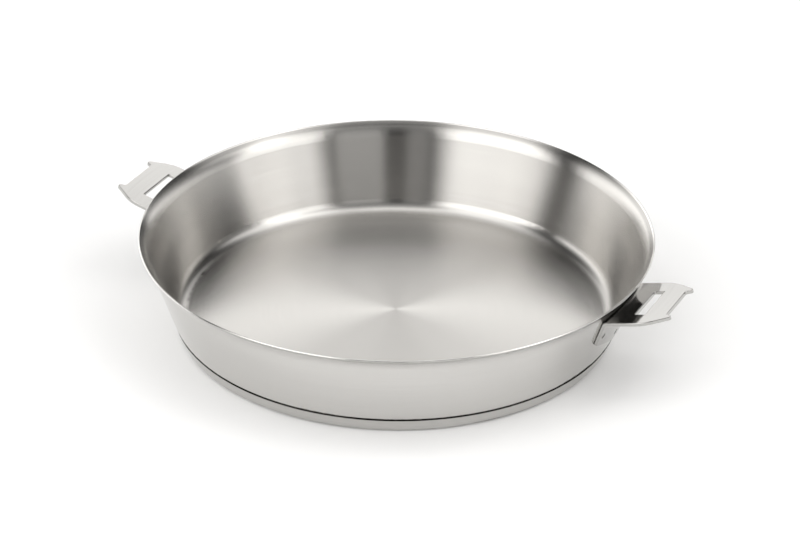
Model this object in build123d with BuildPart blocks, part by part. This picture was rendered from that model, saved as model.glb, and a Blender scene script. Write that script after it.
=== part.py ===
# Round stainless frying pan with an encapsulated base and two stamped handle brackets
from build123d import *
from math import asin, cos, radians, sin, tan
import os

# Frame: origin at the bottom centre of the base, +Z up, +X towards the right bracket, millimetres

# Body shell
rim_radius = 150.0
pan_height = 58.0
sheet = 1.0
wall_foot_height = 8.5
wall_angle = 18.7
corner_radius = 9.0
lip_height = 4.6
lip_angle = 46.0
lip_bend_radius = 18.0
rim_round = 0.4

# Encapsulated base
base_height = 6.0
cap_sheet = 0.8
cap_corner_radius = 4.0
bond_gap = 0.05

# Bracket plate: its straight end lies outside and below the rim, and the rest is measured from there
bracket_sheet = 2.0
bracket_width = 53.2
plate_tilt = 14.5
plate_reach = 23.8
plate_drop = 3.5
side_trim = 0.01
shoulder_overrun = 1.2
shoulder_back = 10.3
shoulder_step = 8.4
shoulder_blend = 21.0
horn_length = 3.3
horn_width = 2.0
horn_lean = 1.2
horn_round = 0.9
end_blend = 2.0
slot_back = 13.0
slot_side = 11.6
slot_width = 6.2
slot_round = 0.6
edge_round = 0.4

# Bracket leg, welded to the wall, measured down from the plate's straight end
leg_draw = 1.1
leg_corner_drop = 24.5
leg_point_drop = 33.5
leg_blend = 2.0
bend_inner_radius = 2.0
bend_outer_radius = 3.5
wall_fit = 0.05

# Spot welds through the leg, measured apart and down from the plate's straight end
weld_diameter = 3.4
weld_fit = 0.02
weld_recess = 0.25
upper_weld_inset = 5.2
upper_weld_drop = 18.7
lower_weld_drop = 27.0

# A face moved by one unit along the leaning wall's normal shifts by lean along the radius
wall_slope = tan(radians(wall_angle))
lean = 1.0 / cos(radians(wall_angle))

# Inner corners of the drawn profile at the rim and where the lip leaves the wall
lip_end_radius = rim_radius - sheet * cos(radians(lip_angle))
lip_foot_radius = lip_end_radius - lip_height * tan(radians(lip_angle))
lip_foot_height = pan_height - lip_height

# Radius of the wall's outer face at its foot
wall_rise = lip_foot_height - wall_foot_height
wall_foot_radius = lip_foot_radius + sheet * lean - wall_rise * wall_slope

# Place of the bracket plate's straight end
plate_end_radius = rim_radius + plate_reach
plate_end_height = pan_height - plate_drop

# The bracket's sides draw in by this much for each unit down the leg
side_taper = leg_draw / leg_corner_drop

# Half widths at the horns' outer and inner sides, the straight end, the slot and the upper welds
horn_outside = bracket_width / 2 - shoulder_step
horn_inside = horn_outside - horn_width
end_half = horn_inside - horn_lean
slot_half = bracket_width / 2 - slot_side
upper_weld_half = bracket_width / 2 - upper_weld_inset

# The shoulder's line is drawn past its corner, for the cut down the sides to end it there
shoulder_run = shoulder_back + horn_length
shoulder_start = (
    horn_length - shoulder_overrun * shoulder_run,
    horn_outside + shoulder_overrun * shoulder_step,
)

# Planes through the pan's axis; the back one keeps a cone's seam away from the bracket
front_plane = Plane.XZ
back_plane = Plane(origin=(0, 0, 0), x_dir=(-1, 0, 0), z_dir=(0, 1, 0))


def wall_radius(height, outward=0.0):
    """Radius of the wall's outer face at a height, moved outwards along its normal."""
    return wall_foot_radius + (height - wall_foot_height) * wall_slope + outward * lean


def shell_corner(outward):
    """Corner of the floor and wall lines, moved outwards from the shell's inner face."""
    height = base_height - outward
    return (wall_radius(height, outward - sheet), height)


def shell_space(outward):
    """Outline of all that lies inside the shell's line, moved outwards from its inner face."""
    with BuildLine() as outline:
        side = FilletPolyline(
            (0, base_height - outward),
            shell_corner(outward),
            (wall_radius(pan_height, outward - sheet), pan_height),
            radius=corner_radius + outward,
        )
        Polyline(side @ 1, (0, pan_height), side @ 0)
    return outline.edges()


def cap_space(inward, top):
    """Outline of the cap, moved inwards from its outer face and closed at a height."""
    with BuildLine() as outline:
        side = FilletPolyline(
            (0, inward),
            (wall_radius(inward, -inward), inward),
            (wall_radius(top, -inward), top),
            radius=cap_corner_radius - inward,
        )
        Polyline(side @ 1, (0, top), side @ 0)
    return outline.edges()


def finish(part, name):
    """Label a finished piece and write it to its own file."""
    part.label = name
    export_step(part, f"parts/{name}.step")


os.makedirs("parts", exist_ok=True)

# Body shell: the drawn sheet's inner line, thickened outwards and turned about the axis
with BuildPart() as pan_body:
    with BuildSketch(front_plane):
        with BuildLine():
            inner_line = FilletPolyline(
                (0, base_height),
                shell_corner(0),
                (lip_foot_radius, lip_foot_height),
                (lip_end_radius, pan_height),
                radius=(corner_radius, lip_bend_radius),
            )
            offset(inner_line, amount=-sheet, side=Side.RIGHT)
        make_face()
    revolve(axis=Axis.Z)
    circles = pan_body.edges().filter_by(GeomType.CIRCLE)
    rim_edges = circles.sort_by(Axis.Z)[-1], circles.sort_by(SortBy.RADIUS)[-1]
    fillet(rim_edges, radius=rim_round * sheet)
finish(pan_body.part, "pan_body")

# Base cap: a shallow dish round the core, its edge closing on the shell's rounded corner
with BuildPart() as base_cap:
    with BuildSketch(front_plane):
        make_face(cap_space(0, wall_foot_height))
        make_face(cap_space(cap_sheet, base_height), mode=Mode.SUBTRACT)
        make_face(shell_space(sheet + bond_gap), mode=Mode.SUBTRACT)
    revolve(axis=Axis.Z)
finish(base_cap.part, "base_cap")

# Heat core: fills the space between the cap and the shell, a bond line away from both
with BuildPart() as heat_core:
    with BuildSketch(front_plane):
        make_face(cap_space(cap_sheet + bond_gap, base_height))
        make_face(shell_space(sheet + bond_gap), mode=Mode.SUBTRACT)
    revolve(axis=Axis.Z)
finish(heat_core.part, "heat_core")

# The plate's upper face, with its x running outwards from the straight end
plate_plane = Plane(
    origin=(plate_end_radius, 0, plate_end_height),
    x_dir=(cos(radians(plate_tilt)), 0, sin(radians(plate_tilt))),
    z_dir=(-sin(radians(plate_tilt)), 0, cos(radians(plate_tilt))),
)


def side_place(drop, trim=0.0):
    """Point on the bracket's tapering side at a drop from the plate's straight end."""
    return (bracket_width / 2 - drop * side_taper - trim, plate_end_height - drop)


def weld_plane(across, drop):
    """Plane on the wall's outer face at a weld, facing out along the wall's normal."""
    height = plate_end_height - drop
    radius = wall_radius(height)
    turn = asin(across / radius)
    place = (radius * cos(turn), across, height)
    return Plane(origin=place, z_dir=(cos(turn), sin(turn), -wall_slope))


weld_planes = [
    weld_plane(-upper_weld_half, upper_weld_drop),
    weld_plane(upper_weld_half, upper_weld_drop),
    weld_plane(0, lower_weld_drop),
]

# Bracket: its leg is a piece of the wall's own cone, its plate a flat stamping
with BuildPart() as bracket:
    # Leg outline seen along X, kept where it meets a ring one sheet thick round the wall
    with BuildSketch(Plane.YZ):
        with BuildLine():
            leg_side = FilletPolyline(
                side_place(0),
                side_place(leg_corner_drop),
                (0, plate_end_height - leg_point_drop),
                radius=leg_blend,
            )
            Polyline(leg_side @ 1, (0, plate_end_height), leg_side @ 0)
        make_face()
        mirror(about=Plane.YZ)
    extrude(amount=plate_end_radius)
    with BuildSketch(back_plane):
        with BuildLine():
            Polyline(
                (wall_radius(0, -sheet), 0),
                (wall_radius(0, bracket_sheet), 0),
                (wall_radius(pan_height, bracket_sheet), pan_height),
                (wall_radius(pan_height, -sheet), pan_height),
                close=True,
            )
        make_face()
    revolve(axis=Axis.Z, mode=Mode.INTERSECT)
    split(bisect_by=plate_plane, keep=Keep.BOTTOM)

    # Plate with its shoulders, horns and slot, drawn as one half and mirrored
    with BuildSketch(plate_plane):
        with BuildLine():
            plate_side = FilletPolyline(
                shoulder_start,
                (horn_length, horn_outside),
                (horn_length, horn_inside),
                (0, end_half),
                (0, 0),
                radius=(horn_round, horn_round, end_blend),
            )
            back = (-plate_end_radius, shoulder_start[1])
            Polyline(plate_side @ 1, (-plate_end_radius, 0), back, plate_side @ 0)
        make_face()
        mirror(about=front_plane)
        with Locations((-slot_back - slot_width / 2, 0)):
            RectangleRounded(slot_width, 2 * slot_half, slot_round, mode=Mode.SUBTRACT)
    extrude(amount=-bracket_sheet)

    # The pan's wall cuts both to one face
    with BuildSketch(back_plane):
        with BuildLine():
            Polyline(
                (0, 0),
                (wall_radius(0, wall_fit), 0),
                (wall_radius(pan_height, wall_fit), pan_height),
                (0, pan_height),
                close=True,
            )
        make_face()
    revolve(axis=Axis.Z, mode=Mode.SUBTRACT)

    # One cut down both sides gives leg and plate a common side face, then the bends follow
    with BuildSketch(Plane.YZ):
        with BuildLine():
            Polyline(
                (0, 0),
                side_place(plate_end_height, side_trim),
                side_place(-plate_reach, side_trim),
                (0, plate_end_height + plate_reach),
                close=True,
            )
        make_face()
        mirror(about=Plane.YZ)
    extrude(amount=2 * plate_end_radius, mode=Mode.INTERSECT)
    under_bend = bracket.edges().filter_by(GeomType.ELLIPSE).sort_by(Axis.Z)[-2]
    fillet(under_bend, radius=bend_inner_radius)
    over_bend = bracket.edges().filter_by(GeomType.ELLIPSE).sort_by(Axis.Z)[-1]
    fillet(over_bend, radius=bend_outer_radius)

    # Shoulders: the short corners farthest out to both sides
    corners = bracket.edges().filter_by(GeomType.LINE).filter_by(
        lambda edge: edge.length < 2 * bracket_sheet
    )
    shoulders = corners.sort_by(Axis.Y)[0], corners.sort_by(Axis.Y)[-1]
    fillet(shoulders, radius=shoulder_blend)

    # The plate's punched edges are rounded on its upper side
    plate_top = bracket.faces().filter_by(plate_plane).sort_by(Axis.Z)[-1]
    punched = plate_top.edges()
    fillet(punched.filter_by(GeomType.LINE) + punched.filter_by(GeomType.CIRCLE), radius=edge_round)

    # Holes that the welds fill
    with BuildSketch(*weld_planes):
        Circle(weld_diameter / 2)
    extrude(amount=2 * bracket_sheet, both=True, mode=Mode.SUBTRACT)

# Spot welds of one bracket: slugs from the wall's face to just below the leg's face
with BuildPart() as welds:
    with BuildSketch(*weld_planes):
        Circle(weld_diameter / 2 - weld_fit)
    extrude(amount=bracket_sheet - weld_recess)

# Both brackets are the same piece, turned to opposite sides of the pan
for side, turn in (("right", 0), ("left", 180)):
    finish(bracket.part.rotate(Axis.Z, turn), f"handle_bracket_{side}")
    finish(welds.part.rotate(Axis.Z, turn), f"weld_spots_{side}")
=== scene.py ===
# Looks of the round stainless frying pan: camera, studio light, floor and metal finishes
from math import cos, pi, radians, sin

import bpy
from mathutils import Matrix, Vector


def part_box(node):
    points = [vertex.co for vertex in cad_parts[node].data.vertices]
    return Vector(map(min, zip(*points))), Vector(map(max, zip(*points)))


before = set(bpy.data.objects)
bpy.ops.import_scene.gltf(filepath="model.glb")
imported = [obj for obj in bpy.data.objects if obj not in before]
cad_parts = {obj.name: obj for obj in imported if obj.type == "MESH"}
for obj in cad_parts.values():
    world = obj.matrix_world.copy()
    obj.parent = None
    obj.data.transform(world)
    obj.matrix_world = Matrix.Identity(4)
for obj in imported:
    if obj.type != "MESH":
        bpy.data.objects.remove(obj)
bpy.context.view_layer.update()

# Units: metres and degrees; the lens and the sensor are in millimetres

# Camera, worked out from the rim, groove and base circles of the photograph
LENS = 130.0
SENSOR = 36.0
CLIP_END = 50.0
CAMERA_DISTANCE = 1.706
CAMERA_AZIMUTH = 25.83
CAMERA_ELEVATION = 29.49
AIM_TURN = -0.072
AIM_TILT = 1.019
AIM_ROLL = -0.608

# Floor: pale where the pan stands, with painted shade that darkens it towards the dim end of the
# studio
FLOOR_RADIUS = 6.0
FLOOR_SIDES = 96
FLOOR_NEAR = (0.95, 0.95, 0.95, 1.0)
FLOOR_FAR_PAINTED_SHADE = (0.10, 0.10, 0.10, 1.0)
FLOOR_PAINTED_SHADE_FADE = (0.8, 1.8)
FLOOR_ROUGHNESS = 0.6

# Light: a dim room with soft panels round the pan. Each panel has its centre as the camera sees
# it (0 right, 90 behind the pan, 180 left, 270 the camera's side), its half width, the elevation
# of its lower and upper edge, the softness of its edges and its strength.
ROOM_TINT = (1.0, 0.995, 0.985, 1.0)
ROOM_STRENGTH = 0.03
PANELS = {
    "front left": (220.0, 27.5, 7.0, 48.0, 7.5, 2.85),
    "front right": (328.0, 21.0, 7.0, 46.0, 7.0, 2.4),
    "back": (91.0, 23.0, 13.0, 42.0, 6.0, 1.65),
    "high left": (200.0, 35.0, 50.0, 76.0, 7.0, 1.1),
    "high right": (0.0, 26.0, 32.0, 76.0, 8.0, 1.6),
    "low left": (146.0, 31.0, -5.0, 28.0, 8.0, 2.35),
    "low right": (20.0, 36.0, -5.0, 13.0, 5.0, 1.95),
    "faint, left of the camera": (260.5, 5.0, -5.0, 40.0, 1.0, 0.35),
    "faint, right of the camera": (288.0, 11.5, -5.0, 40.0, 1.0, 0.68),
    "ceiling round the back": (90.0, 135.0, 54.0, 100.0, 7.0, 1.1),
    "ceiling over the camera": (270.0, 45.0, 54.0, 100.0, 7.0, 0.45),
    "overhead": (0.0, 360.0, 80.0, 100.0, 4.0, 1.2),
}

# Heights on the pan, read from the frame: the rim's top, and the groove over the cap's edge
RIM_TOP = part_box("pan_body")[1][2]
GROOVE_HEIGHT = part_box("base_cap")[1][2]

# Depths below the rim's top between which the lip's painted shade comes in, and the brushing goes
# out
LIP_PAINTED_SHADE_FADE = (0.0033, 0.0016)
BRUSHING_FADE = (0.0003, 0.0007)

# Painted shade for the groove's dark line: how far it reaches up and down, how softly it ends, and
# its shade
GROOVE_REACH = 0.00016
GROOVE_SOFTNESS = 0.00004
GROOVE_PAINTED_SHADE = (0.12, 0.117, 0.112, 1.0)

# Darker and lighter shade of each metal
OUTSIDE_SHADES = ((0.600, 0.590, 0.572, 1.0), (0.645, 0.635, 0.617, 1.0))
INSIDE_SHADES = ((0.480, 0.468, 0.450, 1.0), (0.520, 0.508, 0.489, 1.0))
# Painted shade: the lip's shades are darker than the inside's, to darken the band below the rim
LIP_PAINTED_SHADES = ((0.330, 0.322, 0.309, 1.0), (0.360, 0.352, 0.338, 1.0))
BRACKET_SHADES = ((0.455, 0.447, 0.434, 1.0), (0.495, 0.487, 0.474, 1.0))
CAP_SHADES = ((0.550, 0.541, 0.525, 1.0), (0.600, 0.591, 0.575, 1.0))
CORE_SHADES = ((0.720, 0.730, 0.740, 1.0), (0.820, 0.830, 0.840, 1.0))
WELD_SHADES = ((0.320, 0.313, 0.302, 1.0), (0.420, 0.412, 0.400, 1.0))

# Roughness of each finish, where it is smoothest and roughest
OUTSIDE_ROUGHNESS = (0.10, 0.14)
INSIDE_ROUGHNESS = (0.23, 0.27)
BRACKET_ROUGHNESS = (0.068, 0.096)
CAP_ROUGHNESS = (0.085, 0.120)
CORE_ROUGHNESS = (0.30, 0.42)
WELD_ROUGHNESS = (0.24, 0.34)

# About how many marks of the brush or the polishing wheel lie side by side in a metre
FINE_BRUSHING = 900.0
BROAD_BRUSHING = 160.0
BRACKET_POLISH = 500.0
CAP_POLISH = 700.0
CORE_POLISH = 300.0
WELD_POLISH = 900.0

# Noise that makes these marks: its change round the axis, its grain, the range of its values
# that is used, and a seed for each kind of mark
MARKS_ROUND_AXIS = 1.6
NOISE_DETAIL = 3.0
NOISE_ROUGHNESS = 0.6
NOISE_RANGE = (0.25, 0.75)
FINE_SEED = 1.0
BROAD_SEED = 7.0
POLISH_SEED = 3.0

# Brushing inside: the share of fine marks, how far they stretch a reflection, the turn that lays
# this stretch across them, and the strength and depth of their relief
FINE_SHARE = 0.6
STRETCH = 0.95
QUARTER_TURN = 0.25
MARK_STRENGTH = 0.02
MARK_DEPTH = 0.00004

# Limits that tell the inside: a normal times the way out from the axis, and a normal's upward part
TOWARDS_AXIS = -0.01
UPWARD = 0.6

# Sockets of Blender's mix node for each kind of value: factor, first, second and result
MIX_SOCKETS = {"FLOAT": (0, 2, 3, 0), "RGBA": (0, 6, 7, 2)}


def make_camera():
    """Camera at the photograph's place, turned by small angles from looking at the origin."""
    azimuth = radians(CAMERA_AZIMUTH)
    elevation = radians(CAMERA_ELEVATION)
    reach = cos(elevation)
    place = CAMERA_DISTANCE * Vector((reach * sin(azimuth), -reach * cos(azimuth), sin(elevation)))
    ahead = -place.normalized()
    right = Vector((cos(azimuth), sin(azimuth), 0.0))
    up = right.cross(ahead)
    turn = Matrix.Rotation(radians(AIM_TURN), 3, up)
    ahead, right = turn @ ahead, turn @ right
    tilt = Matrix.Rotation(radians(AIM_TILT), 3, right)
    ahead, up = tilt @ ahead, tilt @ up
    roll = Matrix.Rotation(radians(AIM_ROLL), 3, ahead)
    right, up = roll @ right, roll @ up
    basis = Matrix((right, up, -ahead)).transposed().to_4x4()
    data = bpy.data.cameras.new("camera")
    data.lens = LENS
    data.sensor_width = SENSOR
    data.clip_end = CLIP_END
    camera = bpy.data.objects.new("camera", data)
    camera.matrix_world = Matrix.Translation(place) @ basis
    bpy.context.collection.objects.link(camera)
    bpy.context.scene.camera = camera


def feed(tree, socket, value):
    """Give a socket its value: a fixed one, or that of another node's socket."""
    if isinstance(value, bpy.types.NodeSocket):
        tree.links.new(value, socket)
    else:
        socket.default_value = value


def add_math(tree, operation, *values):
    """Result of a math node."""
    node = tree.nodes.new("ShaderNodeMath")
    node.operation = operation
    for socket, value in zip(node.inputs, values):
        feed(tree, socket, value)
    return node.outputs[0]


def add_vector_math(tree, operation, *vectors):
    """Vector math node; its results are read from its outputs by name."""
    node = tree.nodes.new("ShaderNodeVectorMath")
    node.operation = operation
    for socket, vector in zip(node.inputs, vectors):
        feed(tree, socket, vector)
    return node.outputs


def add_split(tree, vector):
    """The x, y and z of a vector."""
    node = tree.nodes.new("ShaderNodeSeparateXYZ")
    feed(tree, node.inputs[0], vector)
    return node.outputs


def add_joined(tree, *parts):
    """Vector made of its x, y and z, as far as they are given."""
    node = tree.nodes.new("ShaderNodeCombineXYZ")
    for socket, part in zip(node.inputs, parts):
        feed(tree, socket, part)
    return node.outputs[0]


def add_range(tree, value, before, after, kind="LINEAR"):
    """Value moved from one range onto another."""
    node = tree.nodes.new("ShaderNodeMapRange")
    node.interpolation_type = kind
    feed(tree, node.inputs["Value"], value)
    node.inputs["From Min"].default_value, node.inputs["From Max"].default_value = before
    node.inputs["To Min"].default_value, node.inputs["To Max"].default_value = after
    return node.outputs["Result"]


def add_ramp(tree, value, start, end, top=1.0):
    """Smooth rise from 0 at the start to its top value at the end."""
    return add_range(tree, value, (start, end), (0.0, top), "SMOOTHSTEP")


def add_mix(tree, kind, factor, first, second):
    """Mix of two numbers or two colours."""
    node = tree.nodes.new("ShaderNodeMix")
    node.data_type = kind
    *places, result = MIX_SOCKETS[kind]
    for place, value in zip(places, (factor, first, second)):
        feed(tree, node.inputs[place], value)
    return node.outputs[result]


def add_shades(tree, grain, shades):
    """Colour between the two shades of a metal."""
    node = tree.nodes.new("ShaderNodeValToRGB")
    for element, position, shade in zip(node.color_ramp.elements, NOISE_RANGE, shades):
        element.position = position
        element.color = shade
    feed(tree, node.inputs["Fac"], grain)
    return node.outputs["Color"]


def add_panel(tree, azimuth, elevation, panel):
    """Strength of one soft panel of light in each direction of the sky."""
    centre, half_width, low, high, softness, strength = panel
    aside = add_math(tree, "SUBTRACT", azimuth, centre)
    across = add_math(tree, "ABSOLUTE", add_math(tree, "WRAP", aside, 180.0, -180.0))
    sides = add_ramp(tree, across, half_width + softness, half_width - softness, strength)
    bottom = add_ramp(tree, elevation, low - softness, low + softness)
    top = add_ramp(tree, elevation, high + softness, high - softness)
    return add_math(tree, "MULTIPLY", sides, add_math(tree, "MULTIPLY", bottom, top))


def make_world():
    """Dim room with soft panels of light, set out from the camera's azimuth."""
    world = bpy.data.worlds.new("studio")
    bpy.context.scene.world = world
    world.use_nodes = True
    tree = world.node_tree
    direction = add_split(tree, tree.nodes.new("ShaderNodeTexCoord").outputs["Generated"])
    turn = add_math(tree, "DEGREES", add_math(tree, "ARCTAN2", direction["Y"], direction["X"]))
    azimuth = add_math(tree, "SUBTRACT", turn, CAMERA_AZIMUTH)
    elevation = add_math(tree, "DEGREES", add_math(tree, "ARCSINE", direction["Z"]))
    total = ROOM_STRENGTH
    for panel in PANELS.values():
        total = add_math(tree, "ADD", add_panel(tree, azimuth, elevation, panel), total)
    background = tree.nodes["Background"]
    background.inputs["Color"].default_value = ROOM_TINT
    feed(tree, background.inputs["Strength"], total)


def new_material(name):
    """Material with its node tree and its principled shader."""
    material = bpy.data.materials.new(name)
    material.use_nodes = True
    tree = material.node_tree
    return material, tree, tree.nodes["Principled BSDF"]


def make_floor():
    """Round floor, pale round the pan, with painted shade that darkens it further out."""
    mesh = bpy.data.meshes.new("studio_floor")
    turns = [2 * pi * step / FLOOR_SIDES for step in range(FLOOR_SIDES)]
    ring = [(FLOOR_RADIUS * cos(turn), FLOOR_RADIUS * sin(turn), 0.0) for turn in turns]
    mesh.from_pydata(ring, [], [list(range(FLOOR_SIDES))])
    floor = bpy.data.objects.new("studio_floor", mesh)
    bpy.context.collection.objects.link(floor)
    material, tree, shader = new_material("pale_floor")
    place = tree.nodes.new("ShaderNodeTexCoord").outputs["Object"]
    distance = add_vector_math(tree, "LENGTH", place)["Value"]
    # Painted shade: the floor's colour darkens with distance from the pan
    painted_floor_shade = add_ramp(tree, distance, *FLOOR_PAINTED_SHADE_FADE)
    feed(tree, shader.inputs["Base Color"], add_mix(tree, "RGBA", painted_floor_shade, FLOOR_NEAR, FLOOR_FAR_PAINTED_SHADE))
    shader.inputs["Roughness"].default_value = FLOOR_ROUGHNESS
    shader.inputs["Specular IOR Level"].default_value = 0.0
    mesh.materials.append(material)


def add_place(tree):
    """Vector out from the pan's axis to each point of a surface, and the point's height."""
    place = add_split(tree, tree.nodes.new("ShaderNodeTexCoord").outputs["Object"])
    return add_joined(tree, place["X"], place["Y"]), place["Z"]


def add_marks(tree, outward, height, side_by_side, seed):
    """Noise drawn out round the axis: it changes quickly along the profile, slowly round it."""
    radius = add_vector_math(tree, "LENGTH", outward)["Value"]
    turn = add_split(tree, add_vector_math(tree, "NORMALIZE", outward)["Vector"])
    spot = add_joined(
        tree,
        add_math(tree, "MULTIPLY", turn["X"], MARKS_ROUND_AXIS),
        add_math(tree, "MULTIPLY", turn["Y"], MARKS_ROUND_AXIS),
        add_math(tree, "MULTIPLY", add_math(tree, "ADD", radius, height), side_by_side),
    )
    noise = tree.nodes.new("ShaderNodeTexNoise")
    noise.noise_dimensions = "4D"
    noise.inputs["W"].default_value = seed
    noise.inputs["Scale"].default_value = 1.0
    noise.inputs["Detail"].default_value = NOISE_DETAIL
    noise.inputs["Roughness"].default_value = NOISE_ROUGHNESS
    feed(tree, noise.inputs["Vector"], spot)
    return noise.outputs["Fac"]


def add_painted_groove_shade(tree, height, colour):
    """Colour with a line of painted shade in the groove where the cap's edge closes on the shell.
    """
    low, high = GROOVE_HEIGHT - GROOVE_REACH, GROOVE_HEIGHT + GROOVE_REACH
    above = add_ramp(tree, height, low - GROOVE_SOFTNESS, low + GROOVE_SOFTNESS)
    below = add_ramp(tree, height, high + GROOVE_SOFTNESS, high - GROOVE_SOFTNESS)
    return add_mix(tree, "RGBA", add_math(tree, "MULTIPLY", above, below), colour, GROOVE_PAINTED_SHADE)


def add_inside(tree, outward):
    """1 on the pan's floor and on each face that looks towards the axis, 0 elsewhere."""
    normal = tree.nodes.new("ShaderNodeNewGeometry").outputs["True Normal"]
    facing = add_vector_math(tree, "DOT_PRODUCT", normal, outward)["Value"]
    inward = add_math(tree, "LESS_THAN", facing, TOWARDS_AXIS)
    on_floor = add_math(tree, "GREATER_THAN", add_split(tree, normal)["Z"], UPWARD)
    return add_math(tree, "MAXIMUM", inward, on_floor)


def shell_finish():
    """Steel brushed round the axis inside and polished outside, with a lip darkened by painted
    shade.
    """
    material, tree, shader = new_material("shell_steel")
    shader.inputs["Metallic"].default_value = 1.0
    shader.inputs["Anisotropic"].default_value = STRETCH
    shader.inputs["Anisotropic Rotation"].default_value = QUARTER_TURN
    tangent = tree.nodes.new("ShaderNodeTangent")
    tangent.direction_type = "RADIAL"
    tangent.axis = "Z"
    feed(tree, shader.inputs["Tangent"], tangent.outputs[0])

    outward, height = add_place(tree)
    fine = add_marks(tree, outward, height, FINE_BRUSHING, FINE_SEED)
    broad = add_marks(tree, outward, height, BROAD_BRUSHING, BROAD_SEED)
    grain = add_math(tree, "ADD", add_math(tree, "MULTIPLY", fine, FINE_SHARE),
                     add_math(tree, "MULTIPLY", broad, 1.0 - FINE_SHARE))

    # The rim's edge is polished like the outside
    inside = add_inside(tree, outward)
    below_rim = add_ramp(tree, height, *(RIM_TOP - depth for depth in BRUSHING_FADE))
    brushed = add_math(tree, "MULTIPLY", inside, below_rim)

    outside_roughness = add_range(tree, grain, NOISE_RANGE, OUTSIDE_ROUGHNESS)
    inside_roughness = add_range(tree, grain, NOISE_RANGE, INSIDE_ROUGHNESS)
    roughness = add_mix(tree, "FLOAT", brushed, outside_roughness, inside_roughness)
    feed(tree, shader.inputs["Roughness"], roughness)

    # Painted shade: the inside's colour darkens over the lip, below the rim's top
    painted_lip_shade = add_ramp(tree, height, *(RIM_TOP - depth for depth in LIP_PAINTED_SHADE_FADE))
    inside_colour = add_mix(tree, "RGBA", painted_lip_shade, add_shades(tree, grain, INSIDE_SHADES),
                            add_shades(tree, grain, LIP_PAINTED_SHADES))
    outside_colour = add_shades(tree, grain, OUTSIDE_SHADES)
    steel = add_mix(tree, "RGBA", brushed, outside_colour, inside_colour)
    # Painted shade along the groove over the cap's edge, on the outside only
    painted_groove_shade = add_painted_groove_shade(tree, height, steel)
    feed(tree, shader.inputs["Base Color"], add_mix(tree, "RGBA", inside, painted_groove_shade, steel))

    bump = tree.nodes.new("ShaderNodeBump")
    bump.inputs["Strength"].default_value = MARK_STRENGTH
    bump.inputs["Distance"].default_value = MARK_DEPTH
    feed(tree, bump.inputs["Height"], add_math(tree, "MULTIPLY", grain, brushed))
    feed(tree, shader.inputs["Normal"], bump.outputs["Normal"])
    return material


def polished_finish(name, shades, roughness, side_by_side, painted_groove_shade=False):
    """Polished metal with a trace of the polishing wheel's marks."""
    material, tree, shader = new_material(name)
    shader.inputs["Metallic"].default_value = 1.0
    outward, height = add_place(tree)
    grain = add_marks(tree, outward, height, side_by_side, POLISH_SEED)
    feed(tree, shader.inputs["Roughness"], add_range(tree, grain, NOISE_RANGE, roughness))
    colour = add_shades(tree, grain, shades)
    # Painted shade line along the groove, where it is asked for
    if painted_groove_shade:
        colour = add_painted_groove_shade(tree, height, colour)
    feed(tree, shader.inputs["Base Color"], colour)
    return material


def dress(node, material):
    """Give a CAD node its finish."""
    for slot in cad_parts[node].material_slots:
        slot.material = material


# The photograph's ground is pure white, which needs Blender's plain view transform
bpy.context.scene.view_settings.view_transform = "Standard"
make_camera()
make_world()
make_floor()

# The cap carries the groove's painted shade line at its top edge
cap_steel = polished_finish("cap_steel", CAP_SHADES, CAP_ROUGHNESS, CAP_POLISH, painted_groove_shade=True)
core_aluminium = polished_finish("core_aluminium", CORE_SHADES, CORE_ROUGHNESS, CORE_POLISH)
bracket_steel = polished_finish("bracket_steel", BRACKET_SHADES, BRACKET_ROUGHNESS, BRACKET_POLISH)
weld_steel = polished_finish("weld_steel", WELD_SHADES, WELD_ROUGHNESS, WELD_POLISH)

dress("pan_body", shell_finish())
dress("base_cap", cap_steel)
dress("heat_core", core_aluminium)
for side in ("right", "left"):
    dress(f"handle_bracket_{side}", bracket_steel)
    dress(f"weld_spots_{side}", weld_steel)
